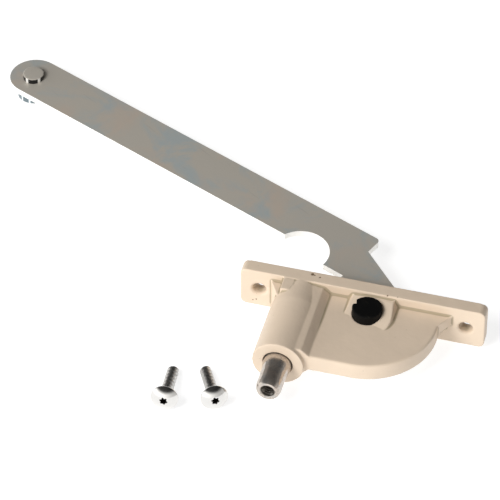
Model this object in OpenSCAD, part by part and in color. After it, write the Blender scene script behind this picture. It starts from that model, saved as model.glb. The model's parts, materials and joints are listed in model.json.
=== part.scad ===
// Surface-mounted window operator: a worm in a cast boss turns a toothed arm about an upright pivot.
// X runs along the flange, Y points away from the room, Z is up. The origin is midway between the two
// mounting holes on the flange's back face. The arm stands part way open, as it is at rest.

/* [Flange] */
// Length of the mounting flange
flange_l = 112.8; // [110:0.2:140]
// Height of the mounting flange
flange_h = 21.4; // [18:0.2:30]
// Thickness of the mounting flange
flange_t = 6.3; // [5:0.1:8]
// How far the flange's middle sits above the mounting holes
flange_rise = 0.5; // [0:0.1:2]
// Corner radius of the flange
flange_r = 3; // [1:0.5:6]

/* [Mounting holes] */
// Distance between the two mounting holes
hole_pitch = 95.25; // [95.25:0.05:100]
// Diameter of a mounting hole
hole_d = 6.2; // [5.5:0.1:7]
// Diameter of the chamfer at the mouth of a mounting hole
hole_mouth_d = 7.9; // [7.2:0.1:9]

/* [Gear case] */
// Distance of the pivot to the right of the middle
pivot_x = 4.35; // [2:0.05:6]
// Distance of the pivot in front of the mounting face
pivot_depth = 14.6; // [13.5:0.1:17]
// Thickness of the gear case's side wall
case_wall = 4.1; // [3.6:0.1:6]
// Thickness of the gear case's top
case_top_t = 2.2; // [1.6:0.1:3]
// Height of the gear case's top face above the arm's middle plane
case_top_z = 5.9; // [5.9:0.1:7]
// Radius of the gear case's rounded top edge
case_edge_r = 1.1; // [0.5:0.1:3]
// Height of the pivot wedge above the case where it meets the flange
wedge_rise = 3.6; // [2:0.1:4.2]
// Radius of the pivot wedge's rounded front, at its top
wedge_r = 9.3; // [8.2:0.1:11]

/* [Gearing] */
// Number of teeth that a full circle of the arm's wheel would have
wheel_teeth = 43; // [40:1:48]
// Pitch radius of the arm's wheel
wheel_pitch_r = 26.55; // [25.5:0.05:27.5]
// Pitch radius of the worm
worm_pitch_r = 5.5; // [5.2:0.05:6]
// Height of a tooth outside the pitch line
addendum = 1.1; // [0.8:0.05:1.2]
// Depth of a tooth inside the pitch line
dedendum = 1.3; // [1.25:0.05:1.5]
// Gap between a tooth and a thread, counted along the pitch line
backlash = 0.7; // [0.6:0.05:0.9]
// Length of the worm's thread
thread_l = 17.4; // [15:0.2:18]

/* [Boss and drive shaft] */
// Length of the worm boss in front of the mounting face
boss_l = 49.3; // [46:0.1:60]
// Outer radius of the worm boss
boss_r = 11.7; // [11.2:0.1:13]
// Height of the worm's axis above the arm's middle plane
worm_z = 0.4; // [0:0.1:1]
// Diameter of the shaft's outer end, where the handle fits
shaft_d = 11.5; // [10.5:0.1:12]
// Length of the shaft that stands out of the boss
shaft_out = 17.5; // [12:0.1:24]
// Length of the collar that stands out of the boss
collar_out = 3.6; // [1:0.1:5]
// Diameter of the threaded hole in the shaft's end
screw_hole_d = 6.3; // [5:0.1:7]
// Depth of the threaded hole in the shaft's end
screw_hole_l = 12; // [8:0.5:14]

/* [Arm] */
// Thickness of the arm
arm_t = 3.2; // [2.8:0.1:3.4]
// Width of the arm's bar
bar_w = 24.1; // [22:0.1:28]
// Distance from the pivot to the middle of the tip, measured along the bar
tip_reach = 225.1; // [160:0.1:280]
// Gap between the mounting face and the bar when the window is shut
bar_gap = 6.6; // [6:0.1:9]
// Radius of the notch that clears the mounting screw
notch_r = 13.2; // [11:0.1:14]
// Angle of the bar at rest, counted from the shut position
rest_open = 23.2; // [20:0.1:26]
// Radius of the arm's hub
hub_r = 21.1; // [18:0.1:22]

/* [Tip stud and roller] */
// How far the stud sits from the middle of the bar, towards the mounting face
stud_shift = 1.1; // [0:0.1:3]
// Diameter of the stud's head
stud_head_d = 10; // [9:0.1:12]
// Thickness of the stud's head
stud_head_t = 2.8; // [1.5:0.1:3.5]
// Diameter of the stud's shank
stud_d = 6.2; // [5:0.1:7]
// Diameter of the roller
roller_d = 16.6; // [12:0.1:18]
// Thickness of the roller
roller_t = 6.4; // [3:0.1:8]

/* [Mounting screws] */
// Diameter of a screw's thread
screw_d = 5.5; // [4:0.1:6]
// Length of a screw under its head
screw_l = 22; // [14:0.5:28]
// Diameter of a screw's head
screw_head_d = 12.4; // [9:0.1:13]
// Thickness of a screw's head
screw_head_t = 3.3; // [2.4:0.1:4]

/* [Hidden] */
$fn = 64;
eps = 0.01;
paint = [0.84, 0.77, 0.69];
zinc = [0.68, 0.67, 0.64];
bronze = [0.62, 0.47, 0.27];

// clearances
run_gap = 0.05;      // radial gap of a running fit
face_gap = 0.05;     // gap between faces that slide
gear_gap = 0.55;     // gap around the wheel inside the case
cover_gap = 0.3;     // gap between the cover and the flange
bore_gap = 0.15;     // gap around the worm's thread in the boss
collar_gap = 0.35;   // gap around the shaft's collar in the mouth of the boss
slot_gap = 0.5;      // gap above and below the arm in the flange's slot
side_gap = 0.4;      // gap between the shut arm and the end of the slot
shut_gap = 1.85;     // gap between the mounting face and the arm's root when the window is shut

// wheel and worm
pitch = 2*PI*wheel_pitch_r/wheel_teeth;
tooth_step = 360/wheel_teeth;
wheel_out_r = wheel_pitch_r + addendum;
wheel_root_r = wheel_pitch_r - dedendum;
worm_out_r = worm_pitch_r + addendum;
worm_root_r = worm_pitch_r - dedendum - 0.05;
flank = tan(20);
half_tooth = (pitch - backlash)/4;
first_tooth = -1;
last_tooth = 13;
blank_start = tooth_step*first_tooth - 4.6;
blank_end = tooth_step*last_tooth + 4.6;
rest_phase = rest_open/tooth_step;
mesh_offset = (ceil(rest_phase) - rest_phase)*pitch;   // tooth nearest to the centre line, at rest
ring_count = 24;                                       // rings in one turn of the thread

// worm boss, along Y
worm_x = pivot_x - wheel_pitch_r - worm_pitch_r;
bore_r = worm_out_r + bore_gap;
boss_mouth = -boss_l;
rear_step = 1.25;        // the wall behind the worm is this much thicker than the flange
rear_wall = -flange_t - rear_step;
journal_r = 2.9;
rear_bush_r = 4.4;
clip_pocket_r = rear_bush_r + 0.2;
clip_pocket_l = 2.6;
washer_t = 0.4;
thread_back = rear_wall - washer_t - 2*face_gap;
thread_front = thread_back - thread_l;
hub_l = 3;
worm_front = thread_front - hub_l;
body_r = 4.5;
collar_r = bore_r - collar_gap;
collar_in = 4.2;
collar_back = boss_mouth + collar_in;
seal_y = boss_mouth + 2.2;
seal_wire_r = 0.9;
front_washer_t = 0.8;
front_bush_l = 10;

// gear case, in plan and in height
arm_z = arm_t/2;
plate_t = 1.4;
pivot_washer_t = 0.6;
ceiling_z = case_top_z - case_top_t;
wall_bottom = -arm_z - pivot_washer_t - 4*face_gap;
case_in_r = wheel_out_r + gear_gap;
case_out_r = case_in_r + case_wall;
web_front = max(boss_mouth, -pivot_depth - case_out_r);
web_x = worm_x + boss_r + 1.8;
boss_root_r = flange_rise + flange_h/2 - worm_z - 0.2;
floor_drop = 0.4;        // the case's space runs this far past the wall's lower edge
slot_left = worm_x + rear_bush_r + 1.4;
slot_right = pivot_x + case_out_r + 0.5;
flare_x = slot_right + 4.2;
flare_y = -flange_t - 7.2;
pocket_in = 2.6;         // depth and top of the pocket cast under the flare
pocket_top = 0.6;

// cover and its rivets
cover_t = 1.2;
cover_inset = 1.2;
cover_r = case_out_r - cover_inset;
cover_left = web_x + 0.2;
cover_rivet_r = 0.8;
cover_rivet_head_r = 1.3;
cover_rivet_l = 3.6;
cover_rivet_ring = case_in_r + 1.5;

// pivot
wedge_shift = 1.3;       // the wedge is this much to the right of the pin
wedge_draft = 1.9;       // and this much wider at its foot
wedge_turn = -16;        // direction in which its top slopes, about the pivot
wedge_front = 5;         // its top meets the case this far in front of the pivot
pin_head_r = 6.75;
pin_top = case_top_z + wedge_rise + 1.1;
pin_r = 5;
spigot_r = 4;
spigot_l = 3.6;
bush_wall = 1.45;
pivot_washer_r = pivot_depth - flange_t - cover_gap;
key_turn = 15;
key_side = 4.6;          // the key fills the pin's seat beyond this distance to the left
key_back = 2.1;          // and beyond this distance towards the flange
clip_t = 0.8;
groove_depth = 0.55;

// arm, in its own plan: the pivot is the origin and the bar runs along +X
bar_y = -(pivot_depth + bar_gap + bar_w/2);
root_y = -(pivot_depth + shut_gap);
stud_y = bar_y + stud_shift;
root_x = pivot_x - slot_left - side_gap;
heel_x = 26.1;
heel_y = bar_y - 2.65;
heel_r = 2.3;
notch_x = pivot_x + hole_pitch/2 - 1.6;
notch_y = root_y - 0.6;
heel = [heel_x, heel_y];
hub_touch_a = atan2(heel_y, heel_x) - acos(hub_r/norm(heel));
hub_touch = (hub_r - 0.1)*[cos(hub_touch_a), sin(hub_touch_a)];
bar_angle = 180 - rest_open;
rivet_ring_r = 19.2;
rivet_r = 1.9;

// loose screws, lying on the surface that the boss rests on
floor_z = worm_z - boss_r;
screw_root_r = 0.38*screw_d;
screw_pitch = 2.6;
screw_tip_r = 0.6;
screw_tilt = atan((screw_head_d/2 - screw_root_r)/screw_l);

// a cylinder along +Y from y0
module rod(y0, len, r) {
    translate([0, y0, 0])
        rotate([-90, 0, 0])
            cylinder(h = len, r = r);
}

// a ring along +Y from y0
module sleeve(y0, len, r_in, r_out) {
    difference() {
        rod(y0, len, r_out);
        rod(y0 - 1, len + 2, r_in);
    }
}

// a flat ring at height z0
module flat_ring(z0, t, r_in, r_out) {
    translate([0, 0, z0])
        difference() {
            cylinder(h = t, r = r_out);
            translate([0, 0, -1])
                cylinder(h = t + 2, r = r_in);
        }
}

module at_pivot() {
    translate([pivot_x, -pivot_depth, 0])
        children();
}

module at_worm() {
    translate([worm_x, 0, worm_z])
        children();
}

module at_arm() {
    at_pivot()
        rotate([0, 0, bar_angle])
            children();
}

module at_tip() {
    at_arm()
        translate([tip_reach, stud_y, 0])
            children();
}

// a drawing in X and Z, extruded from y_back towards the room
module upright(y_back, depth) {
    translate([0, y_back, 0])
        rotate([90, 0, 0])
            linear_extrude(height = depth)
                children();
}

// a rectangle with round corners
module round_rect(w, h, r) {
    square([w - 2*r, h], center = true);
    square([w, h - 2*r], center = true);
    for (sx = [-1, 1], sy = [-1, 1])
        translate([sx*(w/2 - r), sy*(h/2 - r)])
            circle(r = r);
}

// ---- housing ----

module flange_body() {
    translate([0, 0, flange_rise])
        upright(0, flange_t)
            round_rect(flange_l, flange_h, flange_r);
}

// round boss of the worm, narrowing into the flange
module boss_body() {
    taper_l = 12;
    at_worm() {
        rod(boss_mouth, boss_l - flange_t - taper_l, boss_r);
        translate([0, -flange_t - taper_l, 0])
            rotate([-90, 0, 0])
                cylinder(h = taper_l + flange_t/2, r1 = boss_r, r2 = boss_root_r);
    }
}

// ramp from the boss down to the gear case, with a steeper foot
module boss_web() {
    foot = [web_x - 3.55, case_top_z + 3.2];
    reach = foot - [worm_x, worm_z];
    ramp = atan2(reach[0], reach[1]) - acos(boss_root_r/norm(reach));
    start = [worm_x + boss_root_r*sin(ramp), worm_z + boss_root_r*cos(ramp)];
    upright(-flange_t/2, -web_front - flange_t/2)
        polygon([start, foot, [web_x, case_top_z], [web_x, wall_bottom],
            [web_x - 3, wall_bottom - 3], [worm_x, floor_z + 2], [worm_x, worm_z]]);
}

// section of the case's side wall and top, with the edge rounded, from the pivot's axis outwards
module case_profile() {
    tall = case_top_z - wall_bottom;
    translate([0, wall_bottom]) {
        square([case_out_r - case_edge_r, tall]);
        square([case_out_r, tall - case_edge_r]);
        translate([case_out_r - case_edge_r, tall - case_edge_r])
            circle(r = case_edge_r);
    }
}

module case_body() {
    back = pivot_depth - flange_t/2;
    // straight front, left of the pivot
    translate([web_x, -pivot_depth, 0])
        rotate([90, 0, 90])
            linear_extrude(height = pivot_x - web_x)
                mirror([1, 0])
                    case_profile();
    translate([web_x, -pivot_depth - 1, wall_bottom])
        cube([pivot_x - web_x, back + 1, case_top_z - wall_bottom]);
    // round front, right of the pivot
    at_pivot()
        intersection() {
            rotate_extrude()
                case_profile();
            translate([-eps, -case_out_r - 1, wall_bottom - 1])
                cube([case_out_r + 2, case_out_r + 1 + back, case_top_z - wall_bottom + 2]);
        }
    // flare that meets the flange on the right
    translate([0, 0, wall_bottom])
        linear_extrude(height = case_top_z - wall_bottom)
            polygon([[pivot_x + 20, -flange_t/2], [flare_x, -flange_t/2], [flare_x, -flange_t],
                [pivot_x + case_out_r - 0.2, flare_y], [pivot_x + 20, flare_y]]);
}

// pocket in the lower half of the flare's outer side
module flare_pocket() {
    front = flare_y + 1.5;
    translate([0, 0, wall_bottom - 1])
        linear_extrude(height = pocket_top - wall_bottom + 1)
            polygon([[flare_x + 1, -flange_t], [flare_x - pocket_in, -flange_t],
                [pivot_x + case_out_r + 0.6, front], [flare_x + 1, front]]);
}

// raised seat of the pivot pin, sloping from the flange down to the case's top
module wedge_body() {
    wedge_top = case_top_z + wedge_rise;
    foot_r = wedge_r + wedge_draft;
    low = ceiling_z + 0.8;
    back = pivot_depth - flange_t;
    sunk = wedge_front + 3;  // the sloping top runs on to here, inside the case's top
    sunk_z = case_top_z - 3*wedge_rise/(back + wedge_front);
    flank = [[foot_r, low], [foot_r, case_top_z], [wedge_r, wedge_top]];
    intersection() {
        translate([pivot_x + wedge_shift, -pivot_depth, 0]) {
            rotate_extrude()
                polygon(concat([[0, wedge_top], [0, low]], flank));
            rotate([90, 0, 180])
                linear_extrude(height = pivot_depth - flange_t/2)
                    polygon(concat(flank, [[-wedge_r, wedge_top], [-foot_r, case_top_z], [-foot_r, low]]));
        }
        at_pivot()
            rotate([90, 0, 90 + wedge_turn])
                translate([0, 0, -2*foot_r])
                    linear_extrude(height = 4*foot_r)
                        polygon([[2*foot_r, low - 1], [2*foot_r, wedge_top], [back, wedge_top],
                            [-sunk, sunk_z], [-sunk, low - 1]]);
    }
}

// triangular rib left of the boss and the small cast pad beside it
module boss_ribs() {
    left = worm_x - boss_r;
    rib_back = -flange_t/2;
    translate([0, 0, worm_z - 8])
        linear_extrude(height = 15)
            polygon([[left - 2.7, rib_back], [left - 2.7, -flange_t], [left + 2.6, -flange_t - 9],
                [left + 4, rib_back]]);
    translate([left + 3.4, -flange_t - 7.4, worm_z + 4])
        cube([4.8, 7.4 + flange_t/2, 6.6]);
}

// space for the wheel and for the arm's root, open below and through the flange
module case_space() {
    reach = case_in_r + 1;
    floor_z0 = wall_bottom - floor_drop;
    slot_z = -arm_z - slot_gap;
    at_pivot()
        intersection() {
            translate([0, 0, floor_z0])
                cylinder(h = ceiling_z - floor_z0, r = case_in_r);
            translate([-reach, -reach, floor_z0 - 1])
                cube([2*reach, reach + pivot_depth - flange_t, ceiling_z - floor_z0 + 2]);
        }
    // corner of the case left of the pivot
    translate([web_x + case_wall - 1, -pivot_depth - case_in_r, floor_z0])
        cube([pivot_x - web_x - case_wall + 1, case_in_r, ceiling_z - floor_z0]);
    // room for the arm's edge on the right
    translate([0, 0, floor_z0])
        linear_extrude(height = ceiling_z - floor_z0)
            polygon([[pivot_x + 20, -flange_t - eps], [slot_right - 0.7, -flange_t - eps],
                [pivot_x + case_in_r + 0.4, flare_y + 1.4], [pivot_x + 20, flare_y + 1.4]]);
    // slot through the flange
    translate([0, 0, slot_z])
        linear_extrude(height = ceiling_z - slot_z) {
            translate([slot_left, -flange_t - 1])
                square([slot_right - slot_left, flange_t + 2]);
            intersection() {
                translate([pivot_x, -pivot_depth])
                    circle(r = case_in_r);
                translate([slot_left - 3, -flange_t - 1])
                    square([30, flange_t + 2]);
            }
        }
}

module boss_bores() {
    at_worm() {
        rod(boss_mouth - 1, 1 + boss_l + rear_wall, bore_r);
        rod(rear_wall - 1, 1 - rear_wall, rear_bush_r);
        rod(-clip_pocket_l, clip_pocket_l + 1, clip_pocket_r);
    }
}

module mounting_holes() {
    mouth = (hole_mouth_d - hole_d)/2;
    for (sx = [-1, 1])
        translate([sx*hole_pitch/2, 0, 0]) {
            rod(-flange_t - 1, flange_t + 2, hole_d/2);
            translate([0, -flange_t - eps, 0])
                rotate([-90, 0, 0])
                    cylinder(h = mouth, r1 = hole_mouth_d/2 + eps, r2 = hole_d/2);
        }
}

// places of the cover's rivets, in the case's wall
module at_cover_rivets() {
    for (a = [-88, -46, -8])
        at_pivot()
            rotate([0, 0, a])
                translate([cover_rivet_ring, 0, 0])
                    children();
    translate([cover_left + 2*cover_rivet_r, -pivot_depth - cover_rivet_ring, 0])
        children();
}

// square corner of the seat that keeps the pin from turning, about the pivot
module pin_key() {
    rotate([0, 0, key_turn])
        translate([-key_side - pin_head_r, key_back, ceiling_z])
            cube([pin_head_r, pin_head_r, pin_top]);
}

module housing() {
    color(paint)
        difference() {
            union() {
                flange_body();
                boss_body();
                boss_web();
                case_body();
                wedge_body();
                boss_ribs();
            }
            case_space();
            flare_pocket();
            boss_bores();
            mounting_holes();
            at_pivot()
                difference() {
                    cylinder(h = pin_top + 1, r = pin_head_r);
                    pin_key();
                }
            at_cover_rivets()
                translate([0, 0, wall_bottom - 1])
                    cylinder(h = cover_rivet_l + 1.4, r = cover_rivet_r);
        }
}

// ---- cover ----

module gear_cover() {
    deep = pivot_depth + cover_r - flange_t - cover_gap;
    color(zinc)
        translate([0, 0, wall_bottom - cover_t])
            difference() {
                union() {
                    intersection() {
                        at_pivot()
                            cylinder(h = cover_t, r = cover_r);
                        translate([pivot_x, -pivot_depth - cover_r, -1])
                            cube([cover_r + 1, deep, cover_t + 2]);
                    }
                    translate([cover_left, -pivot_depth - cover_r, 0])
                        cube([pivot_x - cover_left, deep, cover_t]);
                }
                at_pivot()
                    translate([0, 0, -1])
                        cylinder(h = cover_t + 2, r = spigot_r);
                at_cover_rivets()
                    translate([0, 0, -1])
                        cylinder(h = cover_t + 2, r = cover_rivet_r);
            }
}

module cover_rivets() {
    rim = 0.5;
    dome = 0.4;
    color(zinc)
        at_cover_rivets()
            translate([0, 0, wall_bottom - cover_t]) {
                cylinder(h = cover_t + cover_rivet_l, r = cover_rivet_r);
                translate([0, 0, -rim])
                    cylinder(h = rim, r = cover_rivet_head_r);
                translate([0, 0, -rim - dome])
                    cylinder(h = dome, r1 = cover_rivet_r, r2 = cover_rivet_head_r);
            }
}

// ---- pivot ----

module pivot_pin() {
    chamfer = 0.5;
    spigot_end = wall_bottom - spigot_l;
    color([0.05, 0.05, 0.05])
        at_pivot()
            difference() {
                union() {
                    translate([0, 0, ceiling_z])
                        cylinder(h = pin_top - ceiling_z - chamfer, r = pin_head_r);
                    translate([0, 0, pin_top - chamfer])
                        cylinder(h = chamfer, r1 = pin_head_r, r2 = pin_head_r - chamfer);
                    translate([0, 0, wall_bottom])
                        cylinder(h = ceiling_z - wall_bottom, r = pin_r);
                    translate([0, 0, spigot_end])
                        cylinder(h = spigot_l, r = spigot_r);
                }
                flat_ring(wall_bottom - cover_t - clip_t - face_gap, clip_t + face_gap,
                    spigot_r - groove_depth, spigot_r + 2);
                pin_key();
            }
}

// open spring ring in a groove of radius r_groove, lying flat with its underside at z = 0
module clip_ring(r_groove, r_out) {
    difference() {
        cylinder(h = clip_t, r = r_out);
        translate([0, 0, -1])
            cylinder(h = clip_t + 2, r = r_groove);
        translate([0, -r_groove*0.8, -1])
            cube([r_out + 1, r_groove*1.6, clip_t + 2]);
    }
}

module pivot_clip() {
    color(zinc)
        at_pivot()
            translate([0, 0, wall_bottom - cover_t - clip_t])
                clip_ring(spigot_r - groove_depth, spigot_r + 2.4);
}

module upper_washer() {
    color(bronze)
        at_pivot()
            flat_ring(ceiling_z - pivot_washer_t, pivot_washer_t, pin_r, pivot_washer_r);
}

module lower_washer() {
    color(bronze)
        at_pivot()
            flat_ring(wall_bottom, pivot_washer_t, pin_r, pivot_washer_r);
}

module pivot_bush() {
    color(bronze)
        at_arm()
            flat_ring(-arm_z, arm_t + plate_t, pin_r + run_gap, pin_r + bush_wall);
}

// ---- arm ----

// one straight-sided tooth of the wheel, pointing along +X
module wheel_tooth() {
    below = 0.6;
    polygon([[wheel_root_r - below, -half_tooth - (dedendum + below)*flank],
        [wheel_out_r, -half_tooth + addendum*flank],
        [wheel_out_r, half_tooth - addendum*flank],
        [wheel_root_r - below, half_tooth + (dedendum + below)*flank]]);
}

// toothed sector that the arm and the gear plate share
module toothed_sector() {
    spread = wheel_root_r/cos(8);
    intersection() {
        circle(r = wheel_root_r);
        polygon(concat([[0, 0]], [for (i = [0:8]) let (a = blank_start + (blank_end - blank_start)*i/8)
            spread*[cos(a), sin(a)]]));
    }
    for (k = [first_tooth:last_tooth])
        rotate([0, 0, k*tooth_step])
            wheel_tooth();
}

module bar_outline() {
    low = bar_y - bar_w/2;
    translate([heel_x + heel_r, low])
        square([tip_reach - heel_x - heel_r, bar_w]);
    translate([heel_x, low + heel_r])
        square([heel_r + 1, bar_w - heel_r]);
    translate([heel_x + heel_r, low + heel_r])
        circle(r = heel_r);
    translate([tip_reach, bar_y])
        circle(r = bar_w/2);
}

// plate between the hub and the bar
module root_outline() {
    side = wheel_root_r - 0.7;
    in_bar = heel + 3*(heel - hub_touch)/norm(heel - hub_touch);
    polygon([[0, 0], [side, -5], [side, root_y + 9], [root_x, root_y + 8], [root_x, root_y],
        [notch_x, root_y], [notch_x, bar_y], in_bar, hub_touch]);
}

module arm() {
    color(zinc)
        at_arm()
            translate([0, 0, -arm_z])
                difference() {
                    union() {
                        linear_extrude(height = arm_t)
                            toothed_sector();
                        cylinder(h = arm_t, r = hub_r);
                        linear_extrude(height = arm_t)
                            root_outline();
                        linear_extrude(height = arm_t)
                            bar_outline();
                    }
                    translate([notch_x, notch_y, -1])
                        cylinder(h = arm_t + 2, r = notch_r);
                    translate([0, 0, -1])
                        cylinder(h = arm_t + 2, r = pin_r + bush_wall);
                    translate([tip_reach, stud_y, -1])
                        cylinder(h = arm_t + 2, r = stud_d/2);
                    at_gear_rivets()
                        translate([0, 0, -1])
                            cylinder(h = arm_t + 2, r = rivet_r);
                }
}

module at_gear_rivets() {
    for (a = [14, 48, 82])
        rotate([0, 0, a])
            translate([rivet_ring_r, 0])
                children();
}

module gear_plate() {
    color(zinc)
        at_arm()
            translate([0, 0, arm_z])
                linear_extrude(height = plate_t)
                    difference() {
                        union() {
                            toothed_sector();
                            circle(r = pivot_washer_r + 3);
                        }
                        circle(r = pin_r + bush_wall);
                        at_gear_rivets()
                            circle(r = rivet_r);
                    }
}

module gear_rivets() {
    color(zinc)
        at_arm()
            translate([0, 0, -arm_z])
                linear_extrude(height = arm_t + plate_t)
                    at_gear_rivets()
                        circle(r = rivet_r);
}

// ---- worm and drive shaft ----

module drive_shaft() {
    r = shaft_d/2;
    taper_l = 2.4;
    taper = 0.65;
    shaft_end = boss_mouth - shaft_out;
    collar_front = boss_mouth - collar_out;
    journal_end = -clip_pocket_l + clip_t + 1.1;
    color(zinc)
        at_worm()
            difference() {
                union() {
                    rod(shaft_end + taper_l, collar_front - shaft_end - taper_l + eps, r);
                    translate([0, shaft_end, 0])
                        rotate([-90, 0, 0])
                            cylinder(h = taper_l, r1 = r - taper, r2 = r);
                    rod(collar_front, collar_back - collar_front, collar_r);
                    rod(collar_back - eps, worm_front - collar_back, body_r);
                    rod(worm_front - 2*eps, journal_end - worm_front, journal_r);
                }
                sleeve(seal_y - seal_wire_r, 2*seal_wire_r, bore_r - 2*seal_wire_r - 2*run_gap, bore_r + 1);
                rod(shaft_end - 1, screw_hole_l + 1, screw_hole_d/2);
                translate([0, shaft_end - eps, 0])
                    rotate([-90, 0, 0])
                        cylinder(h = 0.4, r1 = screw_hole_d/2 + 0.4, r2 = screw_hole_d/2);
                sleeve(-clip_pocket_l + 0.1, clip_t + face_gap, journal_r - groove_depth, journal_r + 2);
                translate([0, worm_front + hub_l/2, -worm_root_r - 1])
                    cylinder(h = 2*worm_root_r + 2, r = worm_pin_r());
            }
}

function worm_pin_r() = 0.9;

// thread of the worm: a ridge swept along a right-hand helix about +Y
module worm_thread() {
    face_y = -pivot_depth - mesh_offset + pitch/2;
    half = half_tooth - 0.05;
    turn_a = ceil((thread_front + half + 0.6 - face_y)/pitch*ring_count);
    turn_b = floor((thread_back - half - 0.6 - face_y)/pitch*ring_count);
    deep = 0.5;
    points = [for (i = [turn_a:turn_b]) let (
            a = i*360/ring_count,
            y = face_y + pitch*i/ring_count,
            lead = min(1, (i - turn_a)/6, (turn_b - i)/6),
            r = worm_root_r - 0.2 + (worm_out_r - worm_root_r + 0.2)*lead,
            w_in = half + (dedendum + deep)*flank,
            w_out = half + (worm_pitch_r - r)*flank)
        for (p = [[worm_root_r - deep, -w_in], [r, -w_out], [r, w_out], [worm_root_r - deep, w_in]])
            [p[0]*cos(a), y + p[1], -p[0]*sin(a)]];
    last = turn_b - turn_a;
    faces = concat([[3, 2, 1, 0]],
        [for (i = [0:last - 1], j = [0:3]) let (a = 4*i + j, b = 4*i + (j + 1)%4) [a, b, b + 4, a + 4]],
        [[4*last, 4*last + 1, 4*last + 2, 4*last + 3]]);
    polyhedron(points = points, faces = faces, convexity = 8);
}

module worm() {
    color([0.5, 0.5, 0.49])
        at_worm() {
            worm_thread();
            difference() {
                sleeve(worm_front, thread_back - worm_front, journal_r, worm_root_r);
                translate([0, worm_front + hub_l/2, -worm_root_r - 1])
                    cylinder(h = 2*worm_root_r + 2, r = worm_pin_r());
            }
        }
}

module worm_pin() {
    color(zinc)
        at_worm()
            translate([0, worm_front + hub_l/2, -worm_root_r])
                cylinder(h = 2*worm_root_r, r = worm_pin_r());
}

module front_washer() {
    color(bronze)
        at_worm()
            sleeve(collar_back + face_gap, front_washer_t, body_r + 0.1, bore_r - 0.1);
}

module front_bush() {
    color(bronze)
        at_worm()
            sleeve(collar_back + front_washer_t + 2*face_gap, front_bush_l, body_r + run_gap, bore_r);
}

module rear_washer() {
    color(bronze)
        at_worm()
            sleeve(rear_wall - washer_t - face_gap, washer_t, journal_r + 0.1, rear_bush_r);
}

module rear_bush() {
    color(bronze)
        at_worm()
            sleeve(rear_wall, -clip_pocket_l - rear_wall, journal_r + run_gap, rear_bush_r);
}

module shaft_seal() {
    color([0.08, 0.08, 0.08])
        at_worm()
            translate([0, seal_y, 0])
                rotate([90, 0, 0])
                    rotate_extrude()
                        translate([bore_r - seal_wire_r - run_gap, 0])
                            circle(r = seal_wire_r - run_gap);
}

module shaft_clip() {
    color(zinc)
        at_worm()
            translate([0, -clip_pocket_l + 0.1, 0])
                rotate([-90, 0, 0])
                    clip_ring(journal_r - groove_depth, clip_pocket_r - 0.4);
}

// ---- tip ----

module tip_stud() {
    foot_t = 0.7;
    low = -arm_z - washer_t - roller_t - 4*face_gap - foot_t;
    edge = 0.5;
    color(zinc)
        at_tip() {
            translate([0, 0, low])
                cylinder(h = arm_z - low + eps, r = stud_d/2);
            translate([0, 0, low])
                cylinder(h = foot_t, r = stud_d/2 + 1.5);
            translate([0, 0, arm_z])
                cylinder(h = stud_head_t - edge, r = stud_head_d/2);
            translate([0, 0, arm_z + stud_head_t - edge])
                cylinder(h = edge, r1 = stud_head_d/2, r2 = stud_head_d/2 - edge);
        }
}

module tip_washer() {
    color(zinc)
        at_tip()
            flat_ring(-arm_z - washer_t, washer_t, stud_d/2, stud_d/2 + 3);
}

module tip_roller() {
    z0 = -arm_z - washer_t - 2*face_gap - roller_t;
    edge = 0.6;
    r = roller_d/2;
    color([0.78, 0.82, 0.85])
        at_tip()
            translate([0, 0, z0])
                rotate_extrude()
                    polygon([[stud_d/2 + run_gap, 0], [r - edge, 0], [r, edge], [r, roller_t - edge],
                        [r - edge, roller_t], [stud_d/2 + run_gap, roller_t]]);
}

// ---- loose mounting screws ----

// screw along +Z from its head's underside at the origin, with the head below
module screw_shape() {
    recess_r = 1.95;
    recess_l = 2;
    crests = floor((screw_l - 4)/screw_pitch);
    dome_r = (pow(screw_head_d/2, 2) + pow(screw_head_t - 0.5, 2))/(2*(screw_head_t - 0.5));
    difference() {
        union() {
            rotate_extrude()
                polygon(concat([[0, 0], [screw_d/2, 0], [screw_root_r, 0.9]],
                    [for (i = [0:crests - 1], p = [[0, 0], [0.65, 1], [0.85, 1], [1.5, 0]])
                        [screw_root_r + p[1]*(screw_d/2 - screw_root_r), 1.6 + i*screw_pitch + p[0]]],
                    [[screw_root_r, screw_l - 3], [screw_tip_r, screw_l], [0, screw_l]]));
            rotate([180, 0, 0]) {
                cylinder(h = 0.5, r = screw_head_d/2);
                intersection() {
                    translate([0, 0, screw_head_t - dome_r])
                        sphere(r = dome_r);
                    translate([0, 0, 0.5 - eps])
                        cylinder(h = screw_head_t, r = screw_head_d/2);
                }
            }
        }
        translate([0, 0, -screw_head_t - 1]) {
            cylinder(h = recess_l + 1, r = recess_r - 0.35);
            for (a = [0:60:300])
                rotate([0, 0, a])
                    translate([recess_r - 0.3, 0, 0])
                        cylinder(h = recess_l + 1, r = 0.5);
        }
    }
}

module lying_screw(x, y, turn) {
    color(zinc)
        translate([x, y, floor_z + screw_head_d/2*cos(screw_tilt)])
            rotate([0, 0, turn])
                rotate([-90 - screw_tilt, 0, 0])
                    screw_shape();
}

module mounting_screw_left() {
    lying_screw(-71.7, -76.8, 5.3);
}

module mounting_screw_right() {
    lying_screw(-50.7, -71.0, 26.8);
}

housing();
gear_cover();
cover_rivets();
pivot_pin();
pivot_clip();
upper_washer();
lower_washer();
pivot_bush();
arm();
gear_plate();
gear_rivets();
drive_shaft();
worm();
worm_pin();
front_washer();
front_bush();
rear_washer();
rear_bush();
shaft_seal();
shaft_clip();
tip_stud();
tip_washer();
tip_roller();
mounting_screw_left();
mounting_screw_right();
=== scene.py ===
"""Finished surfaces of a casement window winder: casting, plated arm, turned shaft, roller and screws."""

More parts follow.
